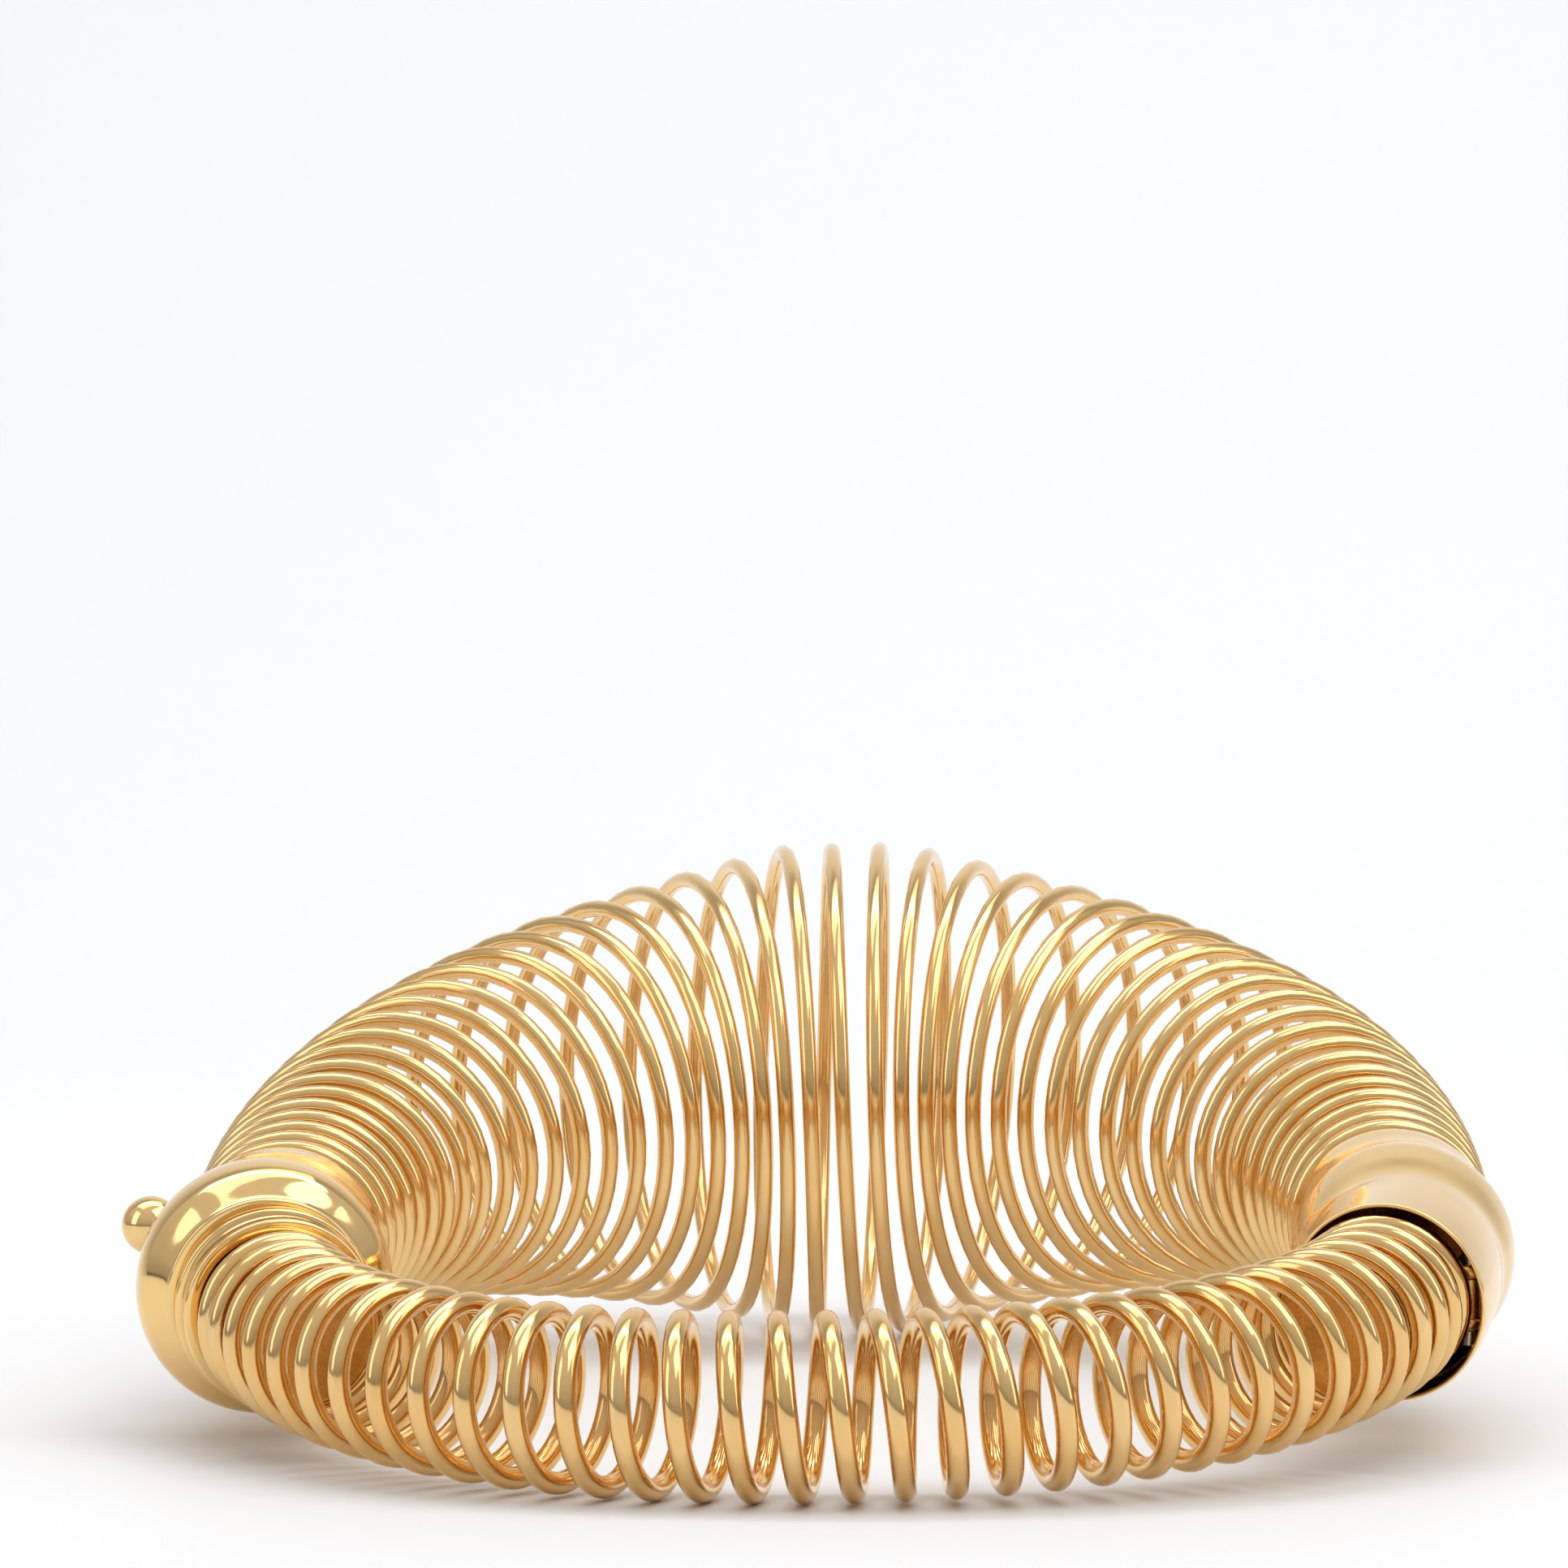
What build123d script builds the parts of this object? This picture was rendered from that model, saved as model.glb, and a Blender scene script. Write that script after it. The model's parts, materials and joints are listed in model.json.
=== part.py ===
from build123d import *
import bisect
import math
import os

# A coil spring bracelet. A slim spring runs round the front and a barrel-shaped spring round the back.
# Two polished bell collars join them: the right one hides a hinge, and the left one hides a box clasp
# that a ball thumb-piece releases. The bracelet lies on a table, so its ring plane leans on the big coils.
# Millimetres, +Z up, the front spring towards -Y, the origin at the middle of the footprint on the table.

# ---- driving dimensions -------------------------------------------------------------------------------
LEFT_WIDTH = 30.0            # ring line, from its middle to either side
RIGHT_WIDTH = 30.36
FRONT_DEPTH = 35.0           # ring line, from the sides to the front
REAR_DEPTH = 46.0            # ring line, from the sides to the back
FRONT_SQUARENESS = 2.24      # 2 is an ellipse, more is squarer
REAR_SQUARENESS = 2.35
ROLL = math.radians(0.9)     # the clasp side hangs a little lower than the hinge side
ROLL_LIFT = 0.03             # keeps the lowest turn on the table with that roll

FRONT_WIRE = 1.1             # wire diameters
REAR_WIRE = 1.0
FRONT_COIL_RADIUS = 4.62     # outside radius, the same all along
REAR_COIL_RADIUS = 15.4      # outside radius at the back, in the middle
REAR_END_RADIUS = 5.2        # outside radius at the collars
REAR_FLAT = 3.5              # half length of the stretch of full-size coils
REAR_HOLLOW = 0.45           # how far the coils' outline draws in from a straight cone

FRONT_PITCH = 2.36           # distance between turns
FRONT_END_PITCH = 1.9        # turns close up towards the collars
FRONT_OPEN_HALF = 31.0       # half length with the open pitch
REAR_PITCH = 2.88
REAR_END_PITCH = 1.65
REAR_OPEN_HALF = 39.0
FRONT_PHASE = -0.28          # turn counter at the middle of each spring, 0 with the wire on top
REAR_PHASE = -0.26

FRONT_SPRING_LEFT = 36.8     # ends of the front spring, along the ring line from the front middle
FRONT_SPRING_RIGHT = 38.3
REAR_SPRING_HALF = 59.2      # half length of the rear spring, from the back middle

MOUTH_LEFT = 40.0            # bell mouths, along the ring line from the front middle
MOUTH_RIGHT = 36.8
# Radii of a bell: outside at its throat, its bulge and its lip, inside at its mouth, and the share of the
# way from throat to mouth where it is widest.
CLASP_BELL = {"throat": 5.45, "bulge": 6.9, "lip": 5.2, "mouth": 4.3, "bulge_share": 0.86}
HINGE_BELL = {"throat": 5.6, "bulge": 6.45, "lip": 6.05, "mouth": 5.3, "bulge_share": 0.46}
BELL_WALL = 0.85
BULKHEAD = 1.5               # thickness of a bell's rear wall
SPIGOT_RADIUS = 2.4          # a plug's spigot passes through the rear wall and is peened over a washer
WASHER_RADIUS = 3.5
WASHER_THICKNESS = 0.4
PEEN_RADIUS = 3.0
PEEN_THICKNESS = 0.5

BALL_RADIUS = 1.56
BALL_OUT = 6.2               # ball centre, outwards and upwards from the ring line
BALL_UP = 2.8
BALL_FORWARD = 4.8           # latch station, in front of the ring's side
BALL_BORE_RADIUS = 1.75      # the ball sinks into this hole when it is pressed
BALL_BORE_FLOOR = 3.8        # outwards from the ring line, as the levels below
SPRING_SEAT = 2.6
SPRING_BORE_RADIUS = 1.15
STEM_RADIUS = 0.55
BLOCK_RADIUS = 5.05
BLOCK_BEHIND = 1.5           # the clasp block, behind and in front of the latch station
BLOCK_AHEAD = 2.8
CATCH_THICKNESS = 0.8
CATCH_CLEARANCE = 0.1
TOOTH = 0.6                  # depth of the catch in the tongue's notch

TONGUE_THICKNESS = 1.0
TONGUE_WIDTH = 2.4
TONGUE_OFFSET = 0.8          # outwards from the ring line, at the mouth
HINGE_DEPTH = 3.0            # hinge axis, behind the right mouth
HINGE_OUT = 4.1              # hinge axis, outwards from the ring line
KNUCKLE_RADIUS = 0.8
KNUCKLE_HALF = 1.0           # half height of the middle knuckle
EAR_TOP = 2.5
HINGE_PIN_RADIUS = 0.4
RUNNING = 0.05               # clearance of moving fits
PARTING = 0.1                # gap between the left mouth and the front cap
PLUG_LENGTH = 5.5
PLUG_GAP = 0.12              # between a plug and the turns around it

POINTS_PER_TURN = 10

# ---- the ring line --------------------------------------------------------------------------------------
LEAN = math.asin((REAR_COIL_RADIUS - FRONT_COIL_RADIUS) / (FRONT_DEPTH + REAR_DEPTH))
SIDE_HEIGHT = FRONT_COIL_RADIUS + FRONT_DEPTH * math.sin(LEAN) + ROLL_LIFT
RING_X = (LEFT_WIDTH + BALL_OUT + BALL_RADIUS - RIGHT_WIDTH - HINGE_BELL["bulge"]) / 2
RING_Y = ((FRONT_DEPTH - REAR_DEPTH) * math.cos(LEAN) + FRONT_COIL_RADIUS - REAR_COIL_RADIUS) / 2
RING_RIGHT = Vector(math.cos(ROLL), 0, math.sin(ROLL))
RING_BACK = Vector(-math.sin(LEAN) * math.sin(ROLL), math.cos(LEAN), math.sin(LEAN) * math.cos(ROLL))
RING_UP = RING_RIGHT.cross(RING_BACK)


def in_ring_plane(x, y):
    """A point of the leaning ring plane, from its plan coordinates."""
    return Vector(RING_X, RING_Y, SIDE_HEIGHT) + RING_RIGHT * x + RING_BACK * y


def plan_point(angle):
    """The squarish oval in plan, with the angle counted anticlockwise from the front middle."""
    side = math.sin(angle)
    back = -math.cos(angle)
    depth, power = (REAR_DEPTH, REAR_SQUARENESS) if back > 0 else (FRONT_DEPTH, FRONT_SQUARENESS)
    width = RIGHT_WIDTH if side > 0 else LEFT_WIDTH
    reach = (abs(side / width) ** power + abs(back / depth) ** power) ** (-1 / power)
    return reach * side, reach * back


PLAN_STEPS = 1440
PLAN = [plan_point(2 * math.pi * step / PLAN_STEPS) for step in range(PLAN_STEPS + 1)]
ARC = [0.0]
for here, there in zip(PLAN, PLAN[1:]):
    ARC.append(ARC[-1] + math.dist(here, there))
SIDE_ARC = ARC[PLAN_STEPS // 4]
BACK_ARC = ARC[PLAN_STEPS // 2]
LEFT_SIDE_ARC = ARC[PLAN_STEPS * 3 // 4]


def plan_at(arc):
    """Plan coordinates at a distance along the ring line, anticlockwise from the front middle."""
    arc = arc % ARC[-1]
    index = min(bisect.bisect_right(ARC, arc), PLAN_STEPS) - 1
    share = (arc - ARC[index]) / (ARC[index + 1] - ARC[index])
    (x0, y0), (x1, y1) = PLAN[index], PLAN[index + 1]
    return x0 + share * (x1 - x0), y0 + share * (y1 - y0)


def station(arc, along=0.0):
    """A plane across the ring line: local x is up, local y is outwards, z runs anticlockwise."""
    before = in_ring_plane(*plan_at(arc - 0.4))
    after = in_ring_plane(*plan_at(arc + 0.4))
    plane = Plane(in_ring_plane(*plan_at(arc)), x_dir=RING_UP, z_dir=(after - before))
    return plane.offset(along)


# ---- springs --------------------------------------------------------------------------------------------
def ease(value, low, high):
    """0 up to low, 1 beyond high, straight between."""
    return min(max((value - low) / (high - low), 0.0), 1.0)


def front_radius(arc):
    return FRONT_COIL_RADIUS


def front_pitch(arc):
    closing = ease(abs(arc), FRONT_OPEN_HALF, FRONT_SPRING_LEFT)
    return FRONT_PITCH + closing * (FRONT_END_PITCH - FRONT_PITCH)


def rear_radius(arc):
    share = ease(abs(arc - BACK_ARC), REAR_FLAT, BACK_ARC - SIDE_ARC)
    swollen = share + REAR_HOLLOW * share * (1 - share)
    return REAR_COIL_RADIUS + swollen * (REAR_END_RADIUS - REAR_COIL_RADIUS)


def rear_pitch(arc):
    closing = ease(abs(arc - BACK_ARC), REAR_OPEN_HALF, REAR_SPRING_HALF)
    return REAR_PITCH + closing * (REAR_END_PITCH - REAR_PITCH)


def coil_points(middle, start, end, phase, pitch, radius, wire):
    """Points along the wire, worked outwards from the middle so that the phase holds there."""
    half_coils = []
    for limit, sign in ((start, -1), (end, 1)):
        arc, turn, points = middle, phase, []
        while sign * arc < sign * limit:
            points.append((arc, turn))
            arc += sign * pitch(arc) / POINTS_PER_TURN
            turn += sign / POINTS_PER_TURN
        half_coils.append(points)
    centre_line = []
    for arc, turn in half_coils[0][:0:-1] + half_coils[1]:
        plane = station(arc)
        swing = 2 * math.pi * turn
        reach = radius(arc) - wire / 2
        centre_line.append(plane.from_local_coords((reach * math.cos(swing), reach * math.sin(swing), 0)))
    return centre_line


front_wire_line = coil_points(0, -FRONT_SPRING_LEFT, FRONT_SPRING_RIGHT, FRONT_PHASE,
                              front_pitch, front_radius, FRONT_WIRE)
rear_wire_line = coil_points(BACK_ARC, BACK_ARC - REAR_SPRING_HALF, BACK_ARC + REAR_SPRING_HALF, REAR_PHASE,
                             rear_pitch, rear_radius, REAR_WIRE)

with BuildPart() as front_spring:
    with BuildLine() as front_path:
        Spline(*front_wire_line)
    with BuildSketch(Plane(front_path.line @ 0, z_dir=front_path.line % 0)):
        Circle(FRONT_WIRE / 2)
    sweep(path=front_path.line, is_frenet=True)

with BuildPart() as rear_spring:
    with BuildLine() as rear_path:
        Spline(*rear_wire_line)
    with BuildSketch(Plane(rear_path.line @ 0, z_dir=rear_path.line % 0)):
        Circle(REAR_WIRE / 2)
    sweep(path=rear_path.line, is_frenet=True)

# ---- places of the fittings -----------------------------------------------------------------------------
FULL_ARC = ARC[-1]
LEFT_MOUTH = FULL_ARC - MOUTH_LEFT
LEFT_THROAT = BACK_ARC + REAR_SPRING_HALF + REAR_WIRE / 2
RIGHT_THROAT = BACK_ARC - REAR_SPRING_HALF - REAR_WIRE / 2
LATCH = LEFT_SIDE_ARC + BALL_FORWARD

latch = station(LATCH)
hinge_station = station(MOUTH_RIGHT + HINGE_DEPTH)
hinge_origin = hinge_station.from_local_coords((0, HINGE_OUT, 0))
# Local x points outwards, y into the right bell and z up.
hinge_plane = Plane(hinge_origin, x_dir=hinge_station.y_dir, z_dir=RING_UP)
# Local x points across the ring to the clasp, z up: the tongue is an arc round this origin.
swing_plane = Plane(hinge_origin, x_dir=-RING_RIGHT, z_dir=RING_UP)
# Local z points outwards, along the ball's stem, and y up.
push_plane = Plane(latch.from_local_coords((BALL_UP, 0, 0)), x_dir=-latch.z_dir, z_dir=latch.y_dir)


# ---- bell collars ---------------------------------------------------------------------------------------
def bell_sections(throat, mouth, sizes):
    """Stations and outside radii of a bell: a slow swell to the bulge, then a rounded shoulder to the lip."""
    length = mouth - throat
    sections = []
    for step in range(7):
        share = step / 6
        rise = (1 - math.cos(math.pi * share)) / 2
        radius = sizes["throat"] + rise * (sizes["bulge"] - sizes["throat"])
        sections.append((throat + share * sizes["bulge_share"] * length, radius))
    for step in (1, 2, 3, 4):
        turn = math.pi / 2 * step / 4
        share = sizes["bulge_share"] + (1 - sizes["bulge_share"]) * math.sin(turn)
        sections.append((throat + share * length, sizes["lip"] + math.cos(turn) * (sizes["bulge"] - sizes["lip"])))
    return sections


def bell_hollow(throat, mouth, sizes):
    """Stations and radii of a bell's hollow, from the bulkhead to the inside of the lip."""
    side = math.copysign(1, mouth - throat)
    outside = bell_sections(throat, mouth - side * BELL_WALL, {**sizes, "lip": sizes["mouth"] + BELL_WALL})
    inside = [(arc, radius - BELL_WALL) for arc, radius in outside[2:]]
    floor_radius = outside[1][1] - BELL_WALL
    return [(throat + side * BULKHEAD, floor_radius)] + inside


def bell(throat, mouth, sizes):
    """A hollow bell from its throat to its mouth, with a bulkhead behind and a hole for the spigot."""
    side = math.copysign(1, mouth - throat)
    outer_circles = []
    for arc, radius in bell_sections(throat, mouth, sizes):
        with BuildSketch(station(arc)) as section:
            Circle(radius)
        outer_circles.append(section.sketch)
    loft(outer_circles)
    inner_circles = []
    for arc, radius in bell_hollow(throat, mouth, sizes):
        where = station(throat, side * BULKHEAD) if not inner_circles else station(arc)
        with BuildSketch(where) as section:
            Circle(radius)
        inner_circles.append(section.sketch)
    loft(inner_circles, mode=Mode.SUBTRACT)
    with BuildSketch(station(mouth, -side * (BELL_WALL + 0.2))) as opening:
        Circle(sizes["mouth"])
    extrude(opening.sketch, amount=side * 3 * BELL_WALL, mode=Mode.SUBTRACT)
    with BuildSketch(station(throat)) as hole:
        Circle(SPIGOT_RADIUS)
    extrude(hole.sketch, amount=side * BULKHEAD * 1.3, mode=Mode.SUBTRACT)


def bore_for_ball():
    """The hole that the ball sinks into, from its floor outwards."""
    with BuildSketch(push_plane.offset(BALL_BORE_FLOOR)) as bore:
        Circle(BALL_BORE_RADIUS)
    extrude(bore.sketch, amount=BALL_OUT, mode=Mode.SUBTRACT)


with BuildPart() as clasp_bell:
    bell(LEFT_THROAT, LEFT_MOUTH, CLASP_BELL)
    bore_for_ball()

with BuildPart() as hinge_bell:
    bell(RIGHT_THROAT, MOUTH_RIGHT, HINGE_BELL)


# ---- plugs in the ends of the springs -------------------------------------------------------------------
def plug(start, length, radius):
    """A plug that follows the ring line from a station, anticlockwise if the length is positive."""
    with BuildLine() as core:
        Spline(*[in_ring_plane(*plan_at(start + share * length)) for share in (0, 0.33, 0.67, 1)])
    with BuildSketch(Plane(core.line @ 0, z_dir=core.line % 0)) as section:
        Circle(radius)
    sweep(section.sketch, path=core.line)


def rear_plug(throat, side):
    """A rear plug: its body in the spring, its spigot through the bulkhead and its peened head."""
    plug(throat, -side * PLUG_LENGTH, REAR_END_RADIUS - REAR_WIRE - PLUG_GAP)
    with BuildSketch(station(throat)) as spigot:
        Circle(SPIGOT_RADIUS)
    extrude(spigot.sketch, amount=side * (BULKHEAD + WASHER_THICKNESS))
    with BuildSketch(station(throat, side * (BULKHEAD + WASHER_THICKNESS))) as head:
        Circle(PEEN_RADIUS)
    extrude(head.sketch, amount=side * PEEN_THICKNESS)


def spigot_washer(throat, side):
    """The washer under the peened head of a spigot."""
    with BuildSketch(station(throat, side * BULKHEAD)) as ring:
        Circle(WASHER_RADIUS)
        Circle(SPIGOT_RADIUS, mode=Mode.SUBTRACT)
    extrude(ring.sketch, amount=side * WASHER_THICKNESS)


with BuildPart() as clasp_rear_plug:
    rear_plug(LEFT_THROAT, 1)

with BuildPart() as hinge_rear_plug:
    rear_plug(RIGHT_THROAT, -1)

with BuildPart() as clasp_washer:
    spigot_washer(LEFT_THROAT, 1)

with BuildPart() as hinge_washer:
    spigot_washer(RIGHT_THROAT, -1)

# ---- hinge, inside the right bell -----------------------------------------------------------------------
FRONT_PLUG_RADIUS = FRONT_COIL_RADIUS - FRONT_WIRE - PLUG_GAP
YOKE_DEPTH = 4.7             # from the mouth to the yoke's disc
YOKE_THICKNESS = 1.3
YOKE_RADIUS = 5.35
EAR_LENGTH = 2.2             # from the hinge axis into the disc
ARM_INNER = -2.0             # the knuckle's arm, outwards from the hinge axis
ARM_OUTER = -0.6
ARM_FRONT = -1.6             # and into the bell from the axis
ARM_BACK = 0.4

with BuildPart() as hinge_yoke:
    with BuildSketch(station(MOUTH_RIGHT + YOKE_DEPTH)):
        Circle(YOKE_RADIUS)
    extrude(amount=YOKE_THICKNESS)
    for side in (1, -1):
        with BuildSketch(hinge_plane.offset(side * (KNUCKLE_HALF + RUNNING))):
            Circle(KNUCKLE_RADIUS)
            with Locations((0, EAR_LENGTH / 2)):
                Rectangle(2 * KNUCKLE_RADIUS, EAR_LENGTH)
            Circle(HINGE_PIN_RADIUS, mode=Mode.SUBTRACT)
        extrude(amount=side * (EAR_TOP - KNUCKLE_HALF - RUNNING))

with BuildPart() as hinge_pin:
    with BuildSketch(hinge_plane.offset(-EAR_TOP)):
        Circle(HINGE_PIN_RADIUS)
    extrude(amount=2 * EAR_TOP)

PIN_HOLE_RADIUS = 0.24
PIN_HOLE_DEPTH = 0.8
PIN_SUNK = 0.2               # the pins end this far below the plug's surface
PIN_SPACING = 0.95
HINGE_PLUG_LENGTH = 7.9
HINGE_PLUG_START = MOUTH_RIGHT + HINGE_DEPTH - 0.9
PIN_STATION = MOUTH_RIGHT - 3.4
PIN_ANGLE = 128              # from the top, outwards and down

pin_station = station(PIN_STATION)
pin_planes = []
for step in (-0.5, 0.5):
    swing = math.radians(PIN_ANGLE) + step * PIN_SPACING / FRONT_PLUG_RADIUS
    away = pin_station.x_dir * math.cos(swing) + pin_station.y_dir * math.sin(swing)
    pin_planes.append(Plane(pin_station.origin + away * FRONT_PLUG_RADIUS, z_dir=away))

with BuildPart() as front_hinge_plug:
    plug(HINGE_PLUG_START, -HINGE_PLUG_LENGTH, FRONT_PLUG_RADIUS)
    with BuildSketch(hinge_plane.offset(-KNUCKLE_HALF)):
        Circle(KNUCKLE_RADIUS)
        with Locations(((ARM_INNER + ARM_OUTER) / 2, (ARM_FRONT + ARM_BACK) / 2)):
            Rectangle(ARM_OUTER - ARM_INNER, ARM_BACK - ARM_FRONT)
    extrude(amount=2 * KNUCKLE_HALF)
    with BuildSketch(hinge_plane.offset(-KNUCKLE_HALF)):
        Circle(HINGE_PIN_RADIUS + RUNNING)
    extrude(amount=2 * KNUCKLE_HALF, mode=Mode.SUBTRACT)
    for plane in pin_planes:
        with BuildSketch(plane.offset(-PIN_HOLE_DEPTH)):
            Circle(PIN_HOLE_RADIUS)
        extrude(amount=2 * PIN_HOLE_DEPTH, mode=Mode.SUBTRACT)



def plug_pin(plane):
    """A short pin in the front hinge plug, its end sunk below the plug's surface."""
    with BuildSketch(plane.offset(-PIN_HOLE_DEPTH)) as section:
        Circle(PIN_HOLE_RADIUS)
    extrude(section.sketch, amount=PIN_HOLE_DEPTH - PIN_SUNK)


with BuildPart() as plug_pin_upper:
    plug_pin(pin_planes[0])

with BuildPart() as plug_pin_lower:
    plug_pin(pin_planes[1])

# ---- front half of the clasp ----------------------------------------------------------------------------
CAP_RIM_RADIUS = 5.15        # outside radii of the cap's rim, groove and skirt
CAP_GROOVE_RADIUS = 4.75
CAP_SKIRT_RADIUS = 4.95
CAP_RIM = 0.55               # lengths along the ring line
CAP_GROOVE = 0.25
CAP_SKIRT = 1.5
CAP_ROUNDING = 0.18
TONGUE_SET = 1.6             # how deep the tongue is set in the cap
RIVET_RADIUS = 0.35
RIVET_BACK = 1.0             # from the mouth to the rivet that holds the tongue in the cap
RIVET_HALF = 2.2
PLUG_SHOULDER = 0.3          # gap between the cap and its plug

cap_plane = station(LEFT_MOUTH, PARTING)
cap_front = PARTING + CAP_RIM + CAP_GROOVE + CAP_SKIRT

rivet_plane = Plane(cap_plane.from_local_coords((0, TONGUE_OFFSET, RIVET_BACK - PARTING)),
                    x_dir=cap_plane.y_dir, z_dir=RING_UP)
tongue_root = swing_plane.to_local_coords(station(LEFT_MOUTH).from_local_coords((0, TONGUE_OFFSET, 0)))
swing_radius = math.hypot(tongue_root.X, tongue_root.Y)
root_angle = math.atan2(tongue_root.Y, tongue_root.X)
to_latch = latch.origin - hinge_origin
latch_share = to_latch.dot(latch.y_dir)
tongue_out = math.sqrt(latch_share ** 2 - to_latch.length ** 2 + swing_radius ** 2) - latch_share
tongue_latch = swing_plane.to_local_coords(latch.from_local_coords((0, tongue_out, 0)))
tip_angle = math.atan2(tongue_latch.Y, tongue_latch.X) - 1.5 / swing_radius


def swing_arc(width, start, end, thickness, mode):
    """An arc-shaped bar about the hinge axis, level with the ring line."""
    reach = 2 * swing_radius
    with BuildSketch(swing_plane.offset(-thickness / 2)) as sector:
        Circle(swing_radius + width / 2)
        Circle(swing_radius - width / 2, mode=Mode.SUBTRACT)
        with BuildLine():
            Polyline((0, 0), (reach * math.cos(start), reach * math.sin(start)),
                     (reach * math.cos(end), reach * math.sin(end)), close=True)
        make_face(mode=Mode.INTERSECT)
    extrude(sector.sketch, amount=thickness, mode=mode)


with BuildPart() as front_cap:
    with BuildSketch(cap_plane):
        Circle(CAP_RIM_RADIUS)
    extrude(amount=CAP_RIM)
    with BuildSketch(cap_plane.offset(CAP_RIM)):
        Circle(CAP_GROOVE_RADIUS)
    extrude(amount=CAP_GROOVE)
    with BuildSketch(cap_plane.offset(CAP_RIM + CAP_GROOVE)):
        Circle(CAP_SKIRT_RADIUS)
    extrude(amount=CAP_SKIRT)
    fillet(edges().filter_by(GeomType.CIRCLE).group_by(SortBy.RADIUS)[-1], CAP_ROUNDING)
    swing_arc(TONGUE_WIDTH, tip_angle, root_angle + TONGUE_SET / swing_radius, TONGUE_THICKNESS,
              Mode.SUBTRACT)
    with BuildSketch(rivet_plane.offset(-RIVET_HALF)):
        Circle(RIVET_RADIUS)
    extrude(amount=2 * RIVET_HALF, mode=Mode.SUBTRACT)

with BuildPart() as tongue_rivet:
    with BuildSketch(rivet_plane.offset(-RIVET_HALF)):
        Circle(RIVET_RADIUS)
    extrude(amount=2 * RIVET_HALF)

with BuildPart() as front_clasp_plug:
    plug(LEFT_MOUTH + cap_front + PLUG_SHOULDER, PLUG_LENGTH, FRONT_PLUG_RADIUS)

notch_floor = tongue_out - TONGUE_WIDTH / 2 + TOOTH + RUNNING
with BuildPart() as tongue:
    swing_arc(TONGUE_WIDTH, tip_angle, root_angle + TONGUE_SET / swing_radius, TONGUE_THICKNESS, Mode.ADD)
    with BuildSketch(latch.offset(-CATCH_THICKNESS / 2 - CATCH_CLEARANCE)):
        with Locations((0, notch_floor - TONGUE_WIDTH / 2)):
            Rectangle(2 * TONGUE_THICKNESS, TONGUE_WIDTH)
    extrude(amount=CATCH_THICKNESS + 2 * CATCH_CLEARANCE, mode=Mode.SUBTRACT)
    with BuildSketch(rivet_plane.offset(-RIVET_HALF)):
        Circle(RIVET_RADIUS)
    extrude(amount=2 * RIVET_HALF, mode=Mode.SUBTRACT)

# ---- rear half of the clasp, inside the left bell -------------------------------------------------------
WINDOW_HALF = TONGUE_THICKNESS / 2 + CATCH_CLEARANCE
WINDOW_INNER = notch_floor - RUNNING
WINDOW_OUTER = tongue_out + TONGUE_WIDTH / 2 + 0.9
CATCH_INNER = WINDOW_INNER - 1.0
CATCH_OUTER = WINDOW_OUTER + 0.8
CATCH_BOTTOM = -1.5
CATCH_TOP = BALL_UP + 0.6
STROKE_ROOM = 0.9            # free length behind the catch, a little over the ball's travel
CATCH_CORNER = 0.6


def rectangle_between(bottom, top, inner, outer):
    """A rectangle of the latch plane, from its levels upwards and outwards."""
    with Locations(((bottom + top) / 2, (inner + outer) / 2)):
        Rectangle(top - bottom, outer - inner)


with BuildPart() as catch_plate:
    with BuildSketch(latch.offset(-CATCH_THICKNESS / 2)) as catch_face:
        rectangle_between(CATCH_BOTTOM, CATCH_TOP, CATCH_INNER, CATCH_OUTER)
        chamfer(catch_face.vertices().group_by(Axis.X)[-1].sort_by(Axis.Y)[0], CATCH_CORNER)
        with Locations((0, (WINDOW_INNER + WINDOW_OUTER) / 2)):
            Rectangle(2 * WINDOW_HALF, WINDOW_OUTER - WINDOW_INNER, mode=Mode.SUBTRACT)
    extrude(amount=CATCH_THICKNESS)

with BuildPart() as thumb_ball:
    with BuildSketch(push_plane.offset(CATCH_OUTER)):
        Circle(STEM_RADIUS)
    extrude(amount=BALL_OUT - CATCH_OUTER)
    with Locations(push_plane.offset(BALL_OUT)):
        Sphere(BALL_RADIUS)

with BuildPart() as clasp_block:
    with BuildSketch(latch.offset(-BLOCK_BEHIND)):
        Circle(BLOCK_RADIUS)
    extrude(amount=BLOCK_BEHIND + BLOCK_AHEAD)
    with BuildSketch(latch.offset(-CATCH_THICKNESS / 2 - CATCH_CLEARANCE)):
        rectangle_between(CATCH_BOTTOM - CATCH_CLEARANCE, CATCH_TOP + CATCH_CLEARANCE,
                          CATCH_INNER - STROKE_ROOM, CATCH_OUTER + CATCH_CLEARANCE)
    extrude(amount=CATCH_THICKNESS + 2 * CATCH_CLEARANCE, mode=Mode.SUBTRACT)
    swing_arc(TONGUE_WIDTH + 3 * CATCH_CLEARANCE, tip_angle - 0.2, root_angle, 2 * WINDOW_HALF,
              Mode.SUBTRACT)
    with BuildSketch(push_plane):
        Circle(STEM_RADIUS + RUNNING)
    extrude(amount=BALL_OUT, mode=Mode.SUBTRACT)
    with BuildSketch(push_plane.offset(SPRING_SEAT)):
        Circle(SPRING_BORE_RADIUS)
    extrude(amount=BALL_OUT, mode=Mode.SUBTRACT)
    bore_for_ball()

THUMB_WIRE = 0.24
THUMB_COIL_RADIUS = 0.86     # to the middle of the wire
THUMB_TURNS = 4
thumb_length = BALL_OUT - BALL_RADIUS - SPRING_SEAT

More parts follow.
